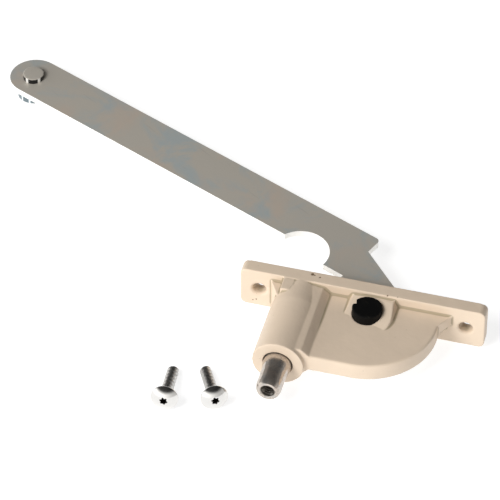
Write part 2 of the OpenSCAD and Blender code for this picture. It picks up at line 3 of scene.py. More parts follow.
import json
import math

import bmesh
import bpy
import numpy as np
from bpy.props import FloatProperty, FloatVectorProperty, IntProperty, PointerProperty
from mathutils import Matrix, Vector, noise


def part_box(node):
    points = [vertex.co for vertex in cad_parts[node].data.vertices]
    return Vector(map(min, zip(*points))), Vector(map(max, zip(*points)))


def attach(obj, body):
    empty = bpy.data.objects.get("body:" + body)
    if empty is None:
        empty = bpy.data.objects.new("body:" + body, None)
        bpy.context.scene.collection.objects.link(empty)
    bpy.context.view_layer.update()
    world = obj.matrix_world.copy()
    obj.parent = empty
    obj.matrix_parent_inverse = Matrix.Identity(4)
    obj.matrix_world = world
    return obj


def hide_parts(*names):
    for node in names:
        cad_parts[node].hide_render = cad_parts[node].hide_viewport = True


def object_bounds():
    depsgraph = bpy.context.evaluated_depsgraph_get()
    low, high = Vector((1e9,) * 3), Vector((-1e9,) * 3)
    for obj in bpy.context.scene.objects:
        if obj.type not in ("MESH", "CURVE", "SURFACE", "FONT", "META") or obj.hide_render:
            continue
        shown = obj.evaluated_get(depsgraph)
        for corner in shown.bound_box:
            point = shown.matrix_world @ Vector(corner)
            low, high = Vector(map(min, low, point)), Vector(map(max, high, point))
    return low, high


bl_info = {
    "name": "Casement Window Winder",
    "version": (1, 0, 0),
    "blender": (4, 5, 0),
    "location": "View3D > Sidebar > Winder",
    "description": "Builds the casting, arm, shaft, roller and screws of a casement window winder",
    "category": "Object",
}

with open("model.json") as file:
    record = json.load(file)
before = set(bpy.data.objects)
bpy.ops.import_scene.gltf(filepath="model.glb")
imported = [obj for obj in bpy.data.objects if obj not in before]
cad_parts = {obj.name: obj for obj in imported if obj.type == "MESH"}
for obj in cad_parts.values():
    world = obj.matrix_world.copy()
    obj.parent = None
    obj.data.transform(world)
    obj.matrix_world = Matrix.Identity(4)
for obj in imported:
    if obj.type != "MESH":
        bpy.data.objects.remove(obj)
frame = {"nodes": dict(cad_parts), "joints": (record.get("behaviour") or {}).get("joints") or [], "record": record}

CAD_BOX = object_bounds()
MM = 0.001
TURN = 2 * math.pi
UP = Vector((0.0, 0.0, 1.0))
ROUND = 96  # sides of a turned piece


# ---- sizes and colours that a user would change ----


def length(name, description, millimetres):
    """A size property, given in millimetres and kept in metres."""
    size = millimetres * MM
    return FloatProperty(name=name, description=description, default=size, unit="LENGTH", precision=5)


def share(name, description, value):
    """A property between 0 and 1."""
    limits = {"min": 0.0, "max": 1.0, "subtype": "FACTOR"}
    return FloatProperty(name=name, description=description, default=value, **limits)


def colour(name, description, value):
    """A colour property, in linear values."""
    return FloatVectorProperty(
        name=name, description=description, default=value, size=3, min=0.0, max=1.0, subtype="COLOR"
    )


def angle(name, description, degrees):
    """An angle property, given in degrees and kept in radians."""
    return FloatProperty(name=name, description=description, default=math.radians(degrees), subtype="ANGLE")


class CastingSettings(bpy.types.PropertyGroup):
    """The painted die casting."""

    grid: length("Surface grid", "Spacing of the casting's surface mesh", 0.32)
    rounding: IntProperty(
        name="Rounding passes", description="How softly the casting's edges are rounded", default=3
    )
    waviness: length("Waviness", "Height of the slow waves in the thick paint", 0.07)
    paint: colour("Paint", "Colour of the baked enamel", (0.66, 0.54, 0.418))
    # painted shade in the hollows near the flange takes this colour; the paint's dark specks use it too
    corner_shade_and_speck_tint: colour("Corner shade and specks", "Colour of the painted corner shade and of the dark specks", (0.27, 0.22, 0.13))
    bare_metal: colour("Chipped spot", "Colour of the casting under a paint chip", (0.17, 0.115, 0.07))
    gloss: share("Paint roughness", "Roughness of the enamel", 0.42)


class PlateSettings(bpy.types.PropertyGroup):
    """The flat zinc-plated steel pieces."""

    edge: length("Arm edge", "Width of the arm's rounded edges", 0.3)
    small_edge: length("Small edge", "Width of the rounded edges of small stamped pieces", 0.15)
    zinc: colour("Zinc", "Main colour of the zinc plating", (0.60, 0.56, 0.49))
    cool: colour("Cool patches", "Colour of the bluish patches in the plating", (0.50, 0.545, 0.54))
    warm: colour("Warm patches", "Colour of the reddish patches in the plating", (0.65, 0.545, 0.45))
    # this colour also paints the bright reflection bands round the stud's side
    cut: colour("Cut edge and glint", "Colour of the freshly sheared edges", (0.95, 0.94, 0.91))
    metal: share("Metal", "How metallic the dull zinc is", 0.35)
    roughness: share("Roughness", "Roughness of the plated sheet", 0.5)


class ShaftSettings(bpy.types.PropertyGroup):
    """The turned drive shaft that the crank handle fits."""

    taper: length("Taper length", "Length of the lead-in at the shaft's outer end", 2.6)
    taper_depth: length("Taper depth", "How much smaller in radius the outer end is", 0.95)
    collar_step: length("Collar start", "Distance from the outer end to the collar", 13.9)
    collar_cone: length("Collar cone", "Length of the cone that leads up to the collar", 3.0)
    thread_pitch: length("Thread pitch", "Pitch of the handle screw's thread", 1.27)
    thread_depth: length("Thread depth", "Height of the thread's ridge inside the hole", 0.5)
    steel: colour("Steel", "Colour of the plated shaft", (0.60, 0.535, 0.475))
    roughness: share("Roughness", "Roughness of the plated shaft", 0.1)


class ScrewSettings(bpy.types.PropertyGroup):
    """The two loose mounting screws."""

    thread_pitch: length("Thread pitch", "Pitch of the coarse thread", 2.6)
    thread_r: length("Thread radius", "Radius over the thread's crest", 2.75)
    core_r: length("Core radius", "Radius of the screw's core", 1.8)
    head_r: length("Head radius", "Radius of the truss head", 6.2)
    head_t: length("Head height", "Height of the truss head", 3.3)
    rim_t: length("Rim height", "Height of the head's upright rim", 0.6)
    shank: length("Shank length", "Length under the head", 22.0)
    lobe_r: length("Drive radius", "Outer radius of the six-lobe recess", 1.95)
    lobe_depth: length("Drive depth", "Depth of the six-lobe recess", 2.0)
    zinc: colour("Bright zinc", "Colour of the screws", (0.80, 0.79, 0.77))
    # painted shade: this colour blackens the inside of the six-lobe recess
    recess_shade: colour("Recess shade", "Colour inside the six-lobe recess", (0.03, 0.026, 0.02))
    roughness: share("Roughness", "Roughness of the screws", 0.15)


class StudioSettings(bpy.types.PropertyGroup):
    """Floor, light and camera."""

    floor: colour("Floor", "Colour of the pale floor", (0.4, 0.399, 0.397))
    floor_glow: FloatProperty(
        name="Floor glow", description="Light that the floor gives by itself", default=0.82, min=0.0
    )
    room: FloatProperty(
        name="Room light", description="Brightness of the room in front and at the left", default=1.4, min=0.0
    )
    key: FloatProperty(
        name="Key light", description="Power of the soft light at the front left", default=10.6, unit="POWER"
    )
    key_size: length("Key size", "Side of the soft light's square", 500.0)
    azimuth: angle("Camera turn", "Angle round the object", 15.28)
    elevation: angle("Camera height", "Angle above the floor", 44.35)
    roll: angle("Camera roll", "Turn of the camera about its own line of sight", -0.17)
    distance: length("Camera distance", "From the object's origin", 1481.7)
    aside: length("Camera offset", "How far the camera stands to the right of the origin", -51.75)
    rise: length("Camera lift", "How far the camera stands above its line to the origin", 22.18)
    lens: FloatProperty(name="Lens", description="Focal length in millimetres", default=236.9)


class WinderSettings(bpy.types.PropertyGroup):
    """All settings of the window winder."""

    casting: PointerProperty(type=CastingSettings)
    plate: PointerProperty(type=PlateSettings)
    shaft: PointerProperty(type=ShaftSettings)
    screw: PointerProperty(type=ScrewSettings)
    studio: PointerProperty(type=StudioSettings)


# ---- shader helpers ----

SOCKET_KINDS = {1: "NodeSocketFloat", 3: "NodeSocketVector", 4: "NodeSocketColor"}


def feed(tree, node, inputs):
    """Sets a node's inputs. A socket is linked, any other value is set, and a plain colour is opaque."""
    for key, value in inputs.items():
        socket = node.inputs[key]
        if isinstance(value, bpy.types.NodeSocket):
            tree.links.new(value, socket)
        elif socket.type == "RGBA":
            socket.default_value = (*value, 1.0)[:4]
        else:
            socket.default_value = value


def add(tree, kind, settings=None, inputs=None):
    """A node with its settings and its inputs."""
    made = tree.nodes.new(kind)
    for key, value in (settings or {}).items():
        setattr(made, key, value)
    feed(tree, made, inputs or {})
    return made


def maths(tree, operation, a, b=0.0, clamp=False):
    """Output of a math node."""
    return add(tree, "ShaderNodeMath", {"operation": operation, "use_clamp": clamp}, {0: a, 1: b}).outputs[0]


def times(tree, a, b, clamp=False):
    """The product of two values."""
    return maths(tree, "MULTIPLY", a, b, clamp)


def plus(tree, a, b, clamp=False):
    """The sum of two values."""
    return maths(tree, "ADD", a, b, clamp)


def vector_maths(tree, operation, inputs):
    """Outputs of a vector math node."""
    return add(tree, "ShaderNodeVectorMath", {"operation": operation}, inputs).outputs


def span(tree, value, low, high, to_low=0.0, to_high=1.0):
    """The value's place between low and high, eased at both ends."""
    inputs = {"Value": value, "From Min": low, "From Max": high, "To Min": to_low, "To Max": to_high}
    made = add(tree, "ShaderNodeMapRange", {"interpolation_type": "SMOOTHSTEP"}, inputs)
    return made.outputs["Result"]


def blend_colours(tree, share_of_b, a, b):
    """Colour a with a share of colour b mixed in."""
    inputs = {"Factor": share_of_b, 6: a, 7: b}
    return add(tree, "ShaderNodeMix", {"data_type": "RGBA"}, inputs).outputs[2]


def grain(tree, vector, scale, detail=2.0, roughness=0.5, distortion=0.0):
    """Noise from 0 to 1, with scale in cycles per metre."""
    inputs = {"Vector": vector, "Scale": scale, "Detail": detail}
    inputs |= {"Roughness": roughness, "Distortion": distortion}
    return add(tree, "ShaderNodeTexNoise", None, inputs).outputs["Fac"]


def place(tree):
    """Coordinates that stay with the object."""
    return add(tree, "ShaderNodeTexCoord").outputs["Object"]


def attribute(tree, name):
    """A number kept on the mesh under this name."""
    return add(tree, "ShaderNodeAttribute", {"attribute_name": name}).outputs["Fac"]


def lying_flat(tree, low, high):
    """Mask of the faces that lie across the Z axis."""
    normal = add(tree, "ShaderNodeTexCoord").outputs["Normal"]
    upward = add(tree, "ShaderNodeSeparateXYZ", None, {0: normal}).outputs["Z"]
    return span(tree, maths(tree, "ABSOLUTE", upward), low, high)


def open_group(name, inputs, outputs):
    """A new shader group from (name, default) pairs and names of outputs, of which Colour is a colour."""
    tree = bpy.data.node_groups.new(name, "ShaderNodeTree")
    for label, value in inputs:
        kind = SOCKET_KINDS[1 if isinstance(value, float) else len(value)]
        socket = tree.interface.new_socket(name=label, in_out="INPUT", socket_type=kind)
        socket.default_value = value
    for label in outputs:
        kind = SOCKET_KINDS[4 if label == "Colour" else 1]
        tree.interface.new_socket(name=label, in_out="OUTPUT", socket_type=kind)
    return tree, tree.nodes.new("NodeGroupInput").outputs, tree.nodes.new("NodeGroupOutput")


def use_group(tree, name, inputs):
    """The outputs of a shader group placed in a material."""
    made = tree.nodes.new("ShaderNodeGroup")
    made.node_tree = bpy.data.node_groups[name]
    feed(tree, made, inputs)
    return made.outputs


# ---- shader groups ----


def edge_wear_group():
    """Worn edges: the mesh's edge value, broken up by noise."""
    tree, given, out = open_group("edge wear", [("Amount", 0.5), ("Break Size", 900.0)], ["Mask"])
    spots = grain(tree, place(tree), given["Break Size"], 4.0, 0.65)
    worn = plus(tree, times(tree, attribute(tree, "edge"), 0.5), maths(tree, "SUBTRACT", spots, 0.5))
    limit = maths(tree, "SUBTRACT", 0.85, times(tree, given["Amount"], 0.6))
    feed(tree, out, {"Mask": span(tree, maths(tree, "SUBTRACT", worn, limit), 0.0, 0.06)})


def cast_grain_group():
    """Skin of a casting or of thick paint: fine grain on slow dimples."""
    inputs = [("Grain Size", 1500.0), ("Dimple Size", 420.0)]
    tree, given, out = open_group("cast grain", inputs, ["Height", "Tone"])
    where = place(tree)
    fine = grain(tree, where, given["Grain Size"], 3.0, 0.6)
    dimples = grain(tree, where, given["Dimple Size"], 1.0, 0.4)
    height = plus(tree, times(tree, fine, 0.35), dimples)
    feed(tree, out, {"Height": height, "Tone": grain(tree, where, 55.0, 3.0, 0.55)})


def zinc_mottle_group():
    """Plating that drifts between its main colour, bluish and reddish patches."""
    plain = (0.5, 0.5, 0.5, 1.0)
    inputs = [("Main", plain), ("Cool", plain), ("Warm", plain), ("Patch Size", 42.0)]
    tree, given, out = open_group("zinc mottle", inputs, ["Colour", "Patches", "Speckle"])
    where = place(tree)
    elsewhere = vector_maths(tree, "ADD", {0: where, 1: (0.31, 0.17, 0.05)})[0]
    patches = grain(tree, where, given["Patch Size"], 4.0, 0.6, 0.8)
    drift = grain(tree, elsewhere, given["Patch Size"], 3.0, 0.55, 0.5)
    speckle = grain(tree, where, 2600.0, 2.0, 0.6)
    tinted = blend_colours(tree, span(tree, patches, 0.46, 0.66), given["Main"], given["Cool"])
    tinted = blend_colours(tree, times(tree, span(tree, drift, 0.5, 0.7), 0.7), tinted, given["Warm"])
    shade = plus(tree, 0.94, times(tree, speckle, 0.12))
    tinted = vector_maths(tree, "SCALE", {0: tinted, "Scale": shade})[0]
    feed(tree, out, {"Colour": tinted, "Patches": patches, "Speckle": speckle})


def drawn_lines_group():
    """Fine lines along one direction, as rolling, grinding or turning leaves them."""
    inputs = [("Turn", 0.0), ("Stretch", (1.0, 40.0, 40.0)), ("Line Size", 160.0)]
    tree, given, out = open_group("drawn lines", inputs, ["Height", "Scratches"])
    turn = {"Vector": place(tree), "Angle": given["Turn"]}
    turned = add(tree, "ShaderNodeVectorRotate", {"rotation_type": "Z_AXIS"}, turn).outputs[0]
    drawn = vector_maths(tree, "MULTIPLY", {0: turned, 1: given["Stretch"]})[0]
    lines = grain(tree, drawn, given["Line Size"], 2.0, 0.7)
    streaks = grain(tree, drawn, times(tree, given["Line Size"], 0.4), 3.0, 0.7)
    feed(tree, out, {"Height": lines, "Scratches": span(tree, streaks, 0.66, 0.72)})


def shader_groups():
    """Every group that more than one material uses."""
    edge_wear_group()
    cast_grain_group()
    zinc_mottle_group()
    drawn_lines_group()


# ---- materials ----


def start_material(name, metal=0.0):
    """A material with a Principled shader on its output, with its tree and the shader."""
    material = bpy.data.materials.new(name)
    material.use_nodes = True
    tree = material.node_tree
    tree.nodes.clear()
    shader = add(tree, "ShaderNodeBsdfPrincipled", None, {"Metallic": metal})
    add(tree, "ShaderNodeOutputMaterial", None, {"Surface": shader.outputs["BSDF"]})
    return material, tree, shader


def surface(tree, shader, tint, rough, height, depth):
    """Feeds colour, roughness and bumps to the shader. depth is the bumps' height in metres."""
    bumps = add(tree, "ShaderNodeBump", None, {"Height": height, "Distance": depth})
    feed(tree, shader, {"Base Color": tint, "Roughness": rough, "Normal": bumps.outputs["Normal"]})


def painted_casting(look):
    """Baked enamel over a die casting, with painted shade in its hollows near the flange, dark specks, and chips
    on its edges.
    """
    material, tree, shader = start_material("painted_casting")
    skin = use_group(tree, "cast grain", {"Grain Size": 1700.0, "Dimple Size": 480.0})
    wear = use_group(tree, "edge wear", {"Amount": 0.22, "Break Size": 700.0})["Mask"]
    chips = maths(tree, "MAXIMUM", wear, span(tree, attribute(tree, "chip"), 0.35, 0.6))
    light = tuple(min(1.0, c * 1.05) for c in look.paint)
    paint = blend_colours(tree, span(tree, skin["Tone"], 0.3, 0.7), look.paint, light)
    # painted shade: the paint darkens in the hollows near the flange, where shade falls
    painted_shade = span(tree, attribute(tree, "corner_shade"), 0.15, 1.0, 0.0, 0.7)
    paint = blend_colours(tree, painted_shade, paint, look.corner_shade_and_speck_tint)
    specks = span(tree, grain(tree, place(tree), 620.0, 2.0, 0.5), 0.74, 0.79, 0.0, 0.5)
    paint = blend_colours(tree, specks, paint, look.corner_shade_and_speck_tint)
    paint = blend_colours(tree, chips, paint, look.bare_metal)
    rough = plus(tree, look.gloss - 0.05, times(tree, skin["Height"], 0.1))
    rough = plus(tree, rough, times(tree, chips, 0.25), True)
    surface(tree, shader, paint, rough, maths(tree, "SUBTRACT", skin["Height"], chips), 0.04 * MM)
    return material


def zinc_sheet(look, name, turn=0.0, patch=42.0, rough=0.0):
    """Dull zinc on rolled steel, mottled by the passivation, with bright cut edges."""
    material, tree, shader = start_material(name, look.metal)
    tints = {"Main": look.zinc, "Cool": look.cool, "Warm": look.warm, "Patch Size": patch}
    zinc = use_group(tree, "zinc mottle", tints)
    lines = use_group(tree, "drawn lines", {"Turn": turn, "Stretch": (1.0, 26.0, 26.0), "Line Size": 70.0})
    wear = use_group(tree, "edge wear", {"Amount": 0.3, "Break Size": 500.0})["Mask"]
    sheet = blend_colours(tree, times(tree, lines["Scratches"], 0.3), zinc["Colour"], (0.36, 0.34, 0.31))
    flat = lying_flat(tree, 0.15, 0.5)
    sheet = blend_colours(tree, maths(tree, "SUBTRACT", 1.0, flat), sheet, look.cut)
    # painted shade: a dark line along the rounded edges of the flat faces
    rim = times(tree, attribute(tree, "edge"), times(tree, flat, 0.7))
    sheet = blend_colours(tree, rim, sheet, (0.22, 0.20, 0.17))
    sheet = blend_colours(tree, times(tree, wear, 0.5), sheet, look.cut)
    dull = plus(tree, look.roughness + rough - 0.05, times(tree, zinc["Patches"], 0.14))
    height = plus(tree, lines["Height"], times(tree, zinc["Speckle"], 0.5))
    surface(tree, shader, sheet, dull, height, 0.006 * MM)
    return material


def clip_steel():
    """Spring steel, plated, with fine lines across it."""
    material, tree, shader = start_material("clip_steel", 1.0)
    main, cool, warm = (0.5, 0.49, 0.47), (0.45, 0.4655, 0.47), (0.43, 0.4214, 0.4042)
    tints = {"Main": main, "Cool": cool, "Warm": warm, "Patch Size": 160.0}
    zinc = use_group(tree, "zinc mottle", tints)
    lines = use_group(tree, "drawn lines", {"Stretch": (1.0, 12.0, 12.0), "Line Size": 300.0})
    wear = use_group(tree, "edge wear", {"Amount": 0.4, "Break Size": 900.0})["Mask"]
    tint = blend_colours(tree, times(tree, lines["Scratches"], 0.35), zinc["Colour"], warm)
    tint = blend_colours(tree, wear, tint, (0.9, 0.89, 0.87))
    rough = plus(tree, 0.26, times(tree, lines["Height"], 0.08), True)
    surface(tree, shader, tint, rough, lines["Height"], 0.008 * MM)
    return material


def bright_screw(look):
    """Shiny zinc, duller on the thread, with painted shade that darkens the thread and turns the recess black."""
    material, tree, shader = start_material("screw_finish", 1.0)
    skin = use_group(tree, "cast grain", {"Grain Size": 2600.0, "Dimple Size": 700.0})
    recess_shade = attribute(tree, "recess_shade")
    darker = tuple(c * 0.9 for c in look.zinc)
    zinc = blend_colours(tree, span(tree, skin["Tone"], 0.3, 0.7), look.zinc, darker)
    # painted shade: black inside the recess, and darker on the thread
    zinc = blend_colours(tree, recess_shade, zinc, look.recess_shade)
    rough = span(tree, skin["Height"], 0.2, 1.2, look.roughness - 0.03, look.roughness + 0.05)
    rough = plus(tree, rough, times(tree, recess_shade, 1.4, True), True)
    surface(tree, shader, zinc, rough, skin["Height"], 0.004 * MM)
    return material


def plated_shaft(look):
    """Plated steel with a ground, slightly crossed texture, and painted shade that turns black in the threaded
    hole.
    """
    material, tree, shader = start_material("plated_shaft", 0.85)
    tints = {"Main": look.steel, "Cool": (0.52, 0.49, 0.46), "Warm": (0.5, 0.42, 0.36), "Patch Size": 220.0}
    zinc = use_group(tree, "zinc mottle", tints)
    lines = use_group(tree, "drawn lines", {"Stretch": (3.0, 8.0, 3.0), "Line Size": 300.0})
    skin = use_group(tree, "cast grain", {"Grain Size": 2600.0, "Dimple Size": 1300.0})
    recess_shade = attribute(tree, "recess_shade")
    pits = span(tree, skin["Height"], 0.72, 0.9, 0.0, 0.5)
    plated = blend_colours(tree, pits, zinc["Colour"], (0.2, 0.18, 0.16))
    # painted shade: black inside the threaded hole
    plated = blend_colours(tree, recess_shade, plated, (0.06, 0.052, 0.04))
    rough = plus(tree, look.roughness, times(tree, skin["Height"], 0.12))
    rough = plus(tree, rough, times(tree, recess_shade, 0.1), True)
    height = plus(tree, times(tree, lines["Height"], 0.4), skin["Height"])
    surface(tree, shader, plated, rough, height, 0.014 * MM)
    return material


def glint_banded_button(name, top, dark, bright, metal):
    """A plated button: dull on its flat faces, with painted dark and bright reflection bands round its side."""
    material, tree, shader = start_material(name, metal)
    flat = lying_flat(tree, 0.55, 0.85)
    # painted reflection: dark and bright bands round the side faces
    side = blend_colours(tree, span(tree, attribute(tree, "glint_band"), 0.6, 0.9), dark, bright)
    darker = tuple(c * 0.94 for c in top)
    tints = {"Main": top, "Cool": darker, "Warm": top, "Patch Size": 120.0}
    face = use_group(tree, "zinc mottle", tints)
    tint = blend_colours(tree, flat, side, face["Colour"])
    surface(tree, shader, tint, span(tree, flat, 0.0, 1.0, 0.12, 0.5), face["Speckle"], 0.006 * MM)
    return material


def black_oxide():
    """Black pin, with faint rubbed streaks."""
    material, tree, shader = start_material("black_steel")
    shader.inputs["Specular IOR Level"].default_value = 0.1
    lines = use_group(tree, "drawn lines", {"Turn": 0.6, "Stretch": (1.0, 9.0, 9.0), "Line Size": 130.0})
    skin = use_group(tree, "cast grain", {"Grain Size": 2400.0, "Dimple Size": 700.0})
    wear = use_group(tree, "edge wear", {"Amount": 0.3, "Break Size": 1200.0})["Mask"]
    patch = span(tree, grain(tree, place(tree), 190.0, 3.0, 0.6, 1.0), 0.5, 0.72)
    streaks = times(tree, span(tree, lines["Height"], 0.5, 0.75), patch)
    rubbed = maths(tree, "MAXIMUM", times(tree, streaks, 0.5), times(tree, wear, 0.4))
    tint = blend_colours(tree, rubbed, (0.004, 0.004, 0.004), (0.05, 0.045, 0.03))
    surface(tree, shader, tint, span(tree, skin["Height"], 0.0, 1.4, 0.5, 0.75), skin["Height"], 0.04 * MM)
    return material


def grained(name, metal, grain_size, dimple_size, patches, tints, rough, depth):
    """Two tints that drift into each other over an even grain. patches and rough are for span."""
    material, tree, shader = start_material(name, metal)
    skin = use_group(tree, "cast grain", {"Grain Size": grain_size, "Dimple Size": dimple_size})
    tint = blend_colours(tree, span(tree, skin["Tone"], *patches), *tints)
    surface(tree, shader, tint, span(tree, skin["Height"], *rough), skin["Height"], depth)
    return material


def bearing_bronze():
    """Oil-filled sintered bronze: fine pores and darker oil patches."""
    tints = ((0.56, 0.36, 0.17), (0.33, 0.21, 0.1))
    rough = (0.2, 1.2, 0.3, 0.55)
    return grained("bearing_bronze", 1.0, 5200.0, 1500.0, (0.4, 0.65), tints, rough, 0.01 * MM)


def greased_steel():
    """Hardened worm steel with a film of brownish grease."""
    material, tree, shader = start_material("worm_steel", 1.0)
    skin = use_group(tree, "cast grain", {"Grain Size": 2400.0, "Dimple Size": 300.0})
    film = span(tree, skin["Tone"], 0.35, 0.6)
    tint = blend_colours(tree, film, (0.42, 0.41, 0.4), (0.2, 0.14, 0.06))
    surface(tree, shader, tint, span(tree, film, 0.0, 1.0, 0.42, 0.2), skin["Height"], 0.02 * MM)
    return material


def seal_rubber():
    """Black moulded rubber with a dusty bloom."""
    tints = ((0.012, 0.012, 0.012), (0.06, 0.058, 0.055))
    rough = (0.2, 1.2, 0.55, 0.8)
    return grained("seal_rubber", 0.0, 3600.0, 900.0, (0.45, 0.75, 0.0, 0.5), tints, rough, 0.01 * MM)


# ---- mesh helpers ----


WELD = 0.002 * MM
SHARP = math.radians(32)
FLAT = math.radians(0.6)


def settle(name, mesh, material, body, slot, *nodes):
    """Links a mesh as a piece that rides on a body and stands for the given CAD nodes."""
    piece = bpy.data.objects.new(name, mesh)
    bpy.context.scene.collection.objects.link(piece)
    mesh.materials.clear()
    mesh.materials.append(material)
    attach(piece, body)
    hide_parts(*nodes)
    return piece


def node_bmesh(node):
    """The CAD node's mesh with its doubled points joined."""
    bm = bmesh.new()
    bm.from_mesh(frame["nodes"][node].data)
    bmesh.ops.remove_doubles(bm, verts=bm.verts, dist=WELD)
    return bm


def softened(name, node, width, material, body, slot, steps=3):
    """A copy of a CAD node with its sharp edges rounded to the given width."""
    bm = node_bmesh(node)
    edge = bm.faces.layers.float.new("edge")
    bmesh.ops.dissolve_limit(bm, angle_limit=FLAT, verts=bm.verts, edges=bm.edges)
    sharp = [e for e in bm.edges if len(e.link_faces) == 2 and e.calc_face_angle() > SHARP]
    made = bmesh.ops.bevel(
        bm, geom=sharp, offset=width, offset_type="OFFSET", segments=steps, profile=0.5,
        affect="EDGES", clamp_overlap=True,
    )
    for face in made["faces"]:
        face[edge] = 1.0
    bmesh.ops.triangulate(bm, faces=[f for f in bm.faces if len(f.verts) > 4])
    for face in bm.faces:
        face.smooth = True
    mesh = bpy.data.meshes.new(name)
    bm.to_mesh(mesh)
    bm.free()
    piece = settle(name, mesh, material, body, slot, node)
    weigh = piece.modifiers.new("even shading", "WEIGHTED_NORMAL")
    weigh.weight = 100


def read_points(mesh):
    """Places of a mesh's points."""
    points = np.empty(len(mesh.vertices) * 3)
    mesh.vertices.foreach_get("co", points)
    return points.reshape(-1, 3)


def relaxed(mesh, passes):
    """The places of a mesh's points after some passes of moving halfway to their neighbours' mean."""
    points = read_points(mesh)
    edges = np.empty(len(mesh.edges) * 2, int)
    mesh.edges.foreach_get("vertices", edges)
    edges = edges.reshape(-1, 2)
    ends = np.concatenate((edges[:, 0], edges[:, 1]))
    others = np.concatenate((edges[:, 1], edges[:, 0]))
    count = np.bincount(ends, minlength=len(points)).astype(float)
    mean = np.empty_like(points)
    for _ in range(passes):
        for axis in range(3):
            mean[:, axis] = np.bincount(ends, points[others, axis], minlength=len(points)) / count
        points += 0.5 * (mean - points)
    return points


def read_normals(mesh):
    """Normals of a mesh's points."""
    normals = np.empty(len(mesh.vertices) * 3, np.float32)
    mesh.vertex_normals.foreach_get("vector", normals)
    return normals.reshape(-1, 3)


def keep_value(mesh, name, values):
    """Keeps one number for each point on the mesh."""
    layer = mesh.attributes.new(name, "FLOAT", "POINT")
    layer.data.foreach_set("value", values.astype(np.float32))


def cast_mesh(name, node, grid, passes):
    """A CAD node remade as an even skin with rounded edges and filled corners."""
    bm = node_bmesh(node)
    rough = bpy.data.meshes.new(name + "_rough")
    bm.to_mesh(rough)
    bm.free()
    carrier = bpy.data.objects.new(name + "_rough", rough)
    bpy.context.scene.collection.objects.link(carrier)
    skin = carrier.modifiers.new("skin", "REMESH")
    skin.mode = "VOXEL"
    skin.voxel_size = grid
    graph = bpy.context.evaluated_depsgraph_get()
    mesh = bpy.data.meshes.new_from_object(carrier.evaluated_get(graph))
    mesh.name = name
    bpy.data.objects.remove(carrier)
    bpy.data.meshes.remove(rough)
    mesh.vertices.foreach_set("co", relaxed(mesh, passes).ravel())
    mesh.update()
    return mesh


def edge_values(mesh, passes, full, unshaded_to, shade_reach):
    """Keeps how convex each point's surroundings are, and how hollow they are as painted corner shade, with full
    as the move that counts as 1.

    The painted corner shade grows from nothing at the given start along Y to its whole value the given reach
    further back.
    """
    points = read_points(mesh)
    moved = relaxed(mesh, passes) - points
    outward = np.einsum("ij,ij->i", moved, read_normals(mesh)) / full
    keep_value(mesh, "edge", np.clip(-outward, 0.0, 1.0))
    # painted corner shade: hollows near the flange, fading out towards the front
    kept = np.clip((points[:, 1] - unshaded_to) / shade_reach, 0.0, 1.0)
    keep_value(mesh, "corner_shade", np.clip(outward, 0.0, 1.0) * kept)


def eased(profile, radius, steps=3):
    """A profile of (distance, radius) points with each inner corner replaced by a small curve."""
    points = [Vector(p) for p in profile]
    out = [points[0]]
    for before, corner, after in zip(points, points[1:], points[2:]):
        reach = min(radius, (before - corner).length * 0.45, (after - corner).length * 0.45)
        start = corner + (before - corner).normalized() * reach
        end = corner + (after - corner).normalized() * reach
        for i in range(steps + 1):
            t = i / steps
            out.append(start * (1 - t) ** 2 + corner * 2 * t * (1 - t) + end * t**2)
    out.append(points[-1])
    return out


def ring(distance, radius, sides, wobble=None):
    """Points round the Z axis. wobble gives the radius for an angle."""
    out = []
    for i in range(sides):
        a = TURN * i / sides
        r = wobble(a) if wobble else radius
        out.append(Vector((r * math.cos(a), r * math.sin(a), distance)))
    return out


def join_rings(bm, rings, place_matrix, close=(True, True)):
    """Adds the skin over a row of rings, moved into place, with its first and last ring closed or open."""
    rows = [[bm.verts.new(place_matrix @ p) for p in points] for points in rings]
    sides = len(rows[0])
    for near, far in zip(rows, rows[1:]):
        for i in range(sides):
            j = (i + 1) % sides
            bm.faces.new((near[i], near[j], far[j], far[i]))
    for row, wanted in ((rows[0], close[0]), (rows[-1], close[1])):
        if wanted:
            centre = bm.verts.new(sum((v.co for v in row), Vector()) / sides)
            for i in range(sides):
                bm.faces.new((row[i], row[(i + 1) % sides], centre))


def finish_bmesh(bm, name):
    """A smooth mesh with its faces turned outward."""
    bmesh.ops.recalc_face_normals(bm, faces=bm.faces)
    for face in bm.faces:
        face.smooth = True
    mesh = bpy.data.meshes.new(name)
    bm.to_mesh(mesh)
    bm.free()
    return mesh


def keep_glint_bands(mesh, centre, count, start):
    """Keeps a wave that runs round the Z axis through a centre, with its first crest at the start angle, to place
    painted reflection bands.
    """
    points = read_points(mesh)
    angle = np.arctan2(points[:, 1] - centre.y, points[:, 0] - centre.x)
    keep_value(mesh, "glint_band", np.cos(count * (angle - start)))


def along(origin, direction):
    """The matrix that lays the Z axis along a direction from an origin."""
    turn = Vector(direction).to_track_quat("Z", "Y").to_matrix().to_4x4()
    return Matrix.Translation(origin) @ turn


def turned_mesh(name, profile, origin):
    """A solid turned about the Z axis through its origin from a profile of (distance, radius) points."""
    bm = bmesh.new()
    join_rings(bm, [ring(z, r, ROUND) for z, r in profile], along(origin, UP))
    return finish_bmesh(bm, name)


def paint_nodes(material, *nodes):
    """Gives CAD nodes a material."""
    for node in nodes:
        obj = frame["nodes"][node]
        if not obj.material_slots:
            obj.data.materials.append(material)
        for slot in obj.material_slots:
            slot.material = material


def joint(name):
    """Place of a joint's axis."""
    return Vector(next(j["pos_m"] for j in frame["joints"] if j["name"] == name))


# ---- the painted casting ----

# chips in the paint: x, z, y from the mounting face, and radius, all in millimetres
FLANGE_CHIPS = (
    (-24.0, 11.0, -1.6, 0.75), (-22.9, 11.0, -1.9, 0.45), (-20.3, 11.0, -2.6, 0.5),
    (-49.0, -6.6, -6.3, 0.32), (-50.6, -7.4, -6.3, 0.26), (11.6, 11.0, -5.9, 0.4), (16.2, 11.0, -5.7, 0.35),
)


CHIP_DEPTH = 0.12 * MM
SLOW_WAVES = 210.0  # waves for each metre, as are the quick ones
QUICK_WAVES = 560.0


